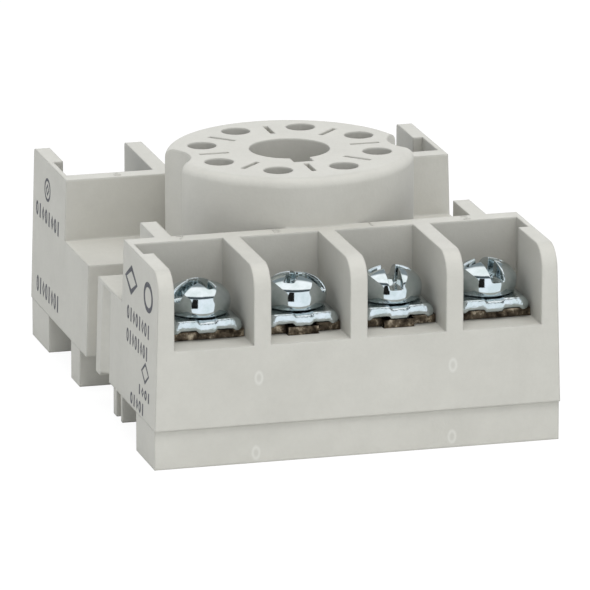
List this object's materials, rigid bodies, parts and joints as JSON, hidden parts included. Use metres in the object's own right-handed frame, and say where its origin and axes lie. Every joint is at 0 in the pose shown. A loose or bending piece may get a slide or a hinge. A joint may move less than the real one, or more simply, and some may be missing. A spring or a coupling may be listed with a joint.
{
  "type": "octal relay socket",
  "caption": "Grey octal relay socket with screw-clamp terminals, for a DIN rail or a panel.",
  "frame": {"origin": "on the boss axis at the mounting plane, which is the underside of the feet", "axes": "+X along a row of terminals, -Y towards the side of the keyway, +Z out of the boss"},
  "size_m": [0.0406, 0.0508, 0.0244],
  "materials": {
    "moulded_grey": "satin",
    "moulded_grey_base": "satin",
    "brass": "satin",
    "zinc": "polished",
    "spring_steel": "satin"
  },
  "bodies": {
    "socket": {"housing": "moulded_grey", "base": "moulded_grey_base", "contact_1": "brass", "contact_2": "brass", "contact_3": "brass", "contact_4": "brass", "contact_5": "brass", "contact_6": "brass", "contact_7": "brass", "contact_8": "brass", "latch_spring": "spring_steel"},
    "latch": {"rail_latch": "moulded_grey_base"},
    "clamp_1": {"clamp_plate_1": "zinc"},
    "screw_1": {"terminal_screw_1": "zinc"},
    "clamp_2": {"clamp_plate_2": "zinc"},
    "screw_2": {"terminal_screw_2": "zinc"},
    "clamp_3": {"clamp_plate_3": "zinc"},
    "screw_3": {"terminal_screw_3": "zinc"},
    "clamp_4": {"clamp_plate_4": "zinc"},
    "screw_4": {"terminal_screw_4": "zinc"},
    "clamp_5": {"clamp_plate_5": "zinc"},
    "screw_5": {"terminal_screw_5": "zinc"},
    "clamp_6": {"clamp_plate_6": "zinc"},
    "screw_6": {"terminal_screw_6": "zinc"},
    "clamp_7": {"clamp_plate_7": "zinc"},
    "screw_7": {"terminal_screw_7": "zinc"},
    "clamp_8": {"clamp_plate_8": "zinc"},
    "screw_8": {"terminal_screw_8": "zinc"}
  },
  "joints": [
    {"name": "latch_slide", "type": "slide", "parent": "socket", "child": "latch", "axis": [0, 1, 0], "range_m": [0, 0.0018], "stiffness_N_per_m": 400, "springref_m": -0.001, "deforming": ["latch_spring"]},
    {"name": "clamp_1_lift", "type": "slide", "parent": "socket", "child": "clamp_1", "axis": [0, 0, 1], "range_m": [0, 0.00238]},
    {"name": "screw_1_turn", "type": "hinge", "parent": "clamp_1", "child": "screw_1", "pos_m": [0.0048, -0.0193, 0.01395], "axis": [0, 0, 1], "range_deg": [0, 1080]},
    {"name": "clamp_2_lift", "type": "slide", "parent": "socket", "child": "clamp_2", "axis": [0, 0, 1], "range_m": [0, 0.00238]},
    {"name": "screw_2_turn", "type": "hinge", "parent": "clamp_2", "child": "screw_2", "pos_m": [0.0144, -0.0193, 0.01395], "axis": [0, 0, 1], "range_deg": [0, 1080]},
    {"name": "clamp_3_lift", "type": "slide", "parent": "socket", "child": "clamp_3", "axis": [0, 0, 1], "range_m": [0, 0.00238]},
    {"name": "screw_3_turn", "type": "hinge", "parent": "clamp_3", "child": "screw_3", "pos_m": [0.0144, 0.0193, 0.01395], "axis": [0, 0, 1], "range_deg": [0, 1080]},
    {"name": "clamp_4_lift", "type": "slide", "parent": "socket", "child": "clamp_4", "axis": [0, 0, 1], "range_m": [0, 0.00238]},
    {"name": "screw_4_turn", "type": "hinge", "parent": "clamp_4", "child": "screw_4", "pos_m": [0.0048, 0.0193, 0.01395], "axis": [0, 0, 1], "range_deg": [0, 1080]},
    {"name": "clamp_5_lift", "type": "slide", "parent": "socket", "child": "clamp_5", "axis": [0, 0, 1], "range_m": [0, 0.00238]},
    {"name": "screw_5_turn", "type": "hinge", "parent": "clamp_5", "child": "screw_5", "pos_m": [-0.0048, 0.0193, 0.01395], "axis": [0, 0, 1], "range_deg": [0, 1080]},
    {"name": "clamp_6_lift", "type": "slide", "parent": "socket", "child": "clamp_6", "axis": [0, 0, 1], "range_m": [0, 0.00238]},
    {"name": "screw_6_turn", "type": "hinge", "parent": "clamp_6", "child": "screw_6", "pos_m": [-0.0144, 0.0193, 0.01395], "axis": [0, 0, 1], "range_deg": [0, 1080]},
    {"name": "clamp_7_lift", "type": "slide", "parent": "socket", "child": "clamp_7", "axis": [0, 0, 1], "range_m": [0, 0.00238]},
    {"name": "screw_7_turn", "type": "hinge", "parent": "clamp_7", "child": "screw_7", "pos_m": [-0.0144, -0.0193, 0.01395], "axis": [0, 0, 1], "range_deg": [0, 1080]},
    {"name": "clamp_8_lift", "type": "slide", "parent": "socket", "child": "clamp_8", "axis": [0, 0, 1], "range_m": [0, 0.00238]},
    {"name": "screw_8_turn", "type": "hinge", "parent": "clamp_8", "child": "screw_8", "pos_m": [-0.0048, -0.0193, 0.01395], "axis": [0, 0, 1], "range_deg": [0, 1080]}
  ],
  "couplings": [
    {"joint": "screw_1_turn", "follows": "clamp_1_lift", "rad_per_m": 7920},
    {"joint": "screw_2_turn", "follows": "clamp_2_lift", "rad_per_m": 7920},
    {"joint": "screw_3_turn", "follows": "clamp_3_lift", "rad_per_m": 7920},
    {"joint": "screw_4_turn", "follows": "clamp_4_lift", "rad_per_m": 7920},
    {"joint": "screw_5_turn", "follows": "clamp_5_lift", "rad_per_m": 7920},
    {"joint": "screw_6_turn", "follows": "clamp_6_lift", "rad_per_m": 7920},
    {"joint": "screw_7_turn", "follows": "clamp_7_lift", "rad_per_m": 7920},
    {"joint": "screw_8_turn", "follows": "clamp_8_lift", "rad_per_m": 7920}
  ]
}
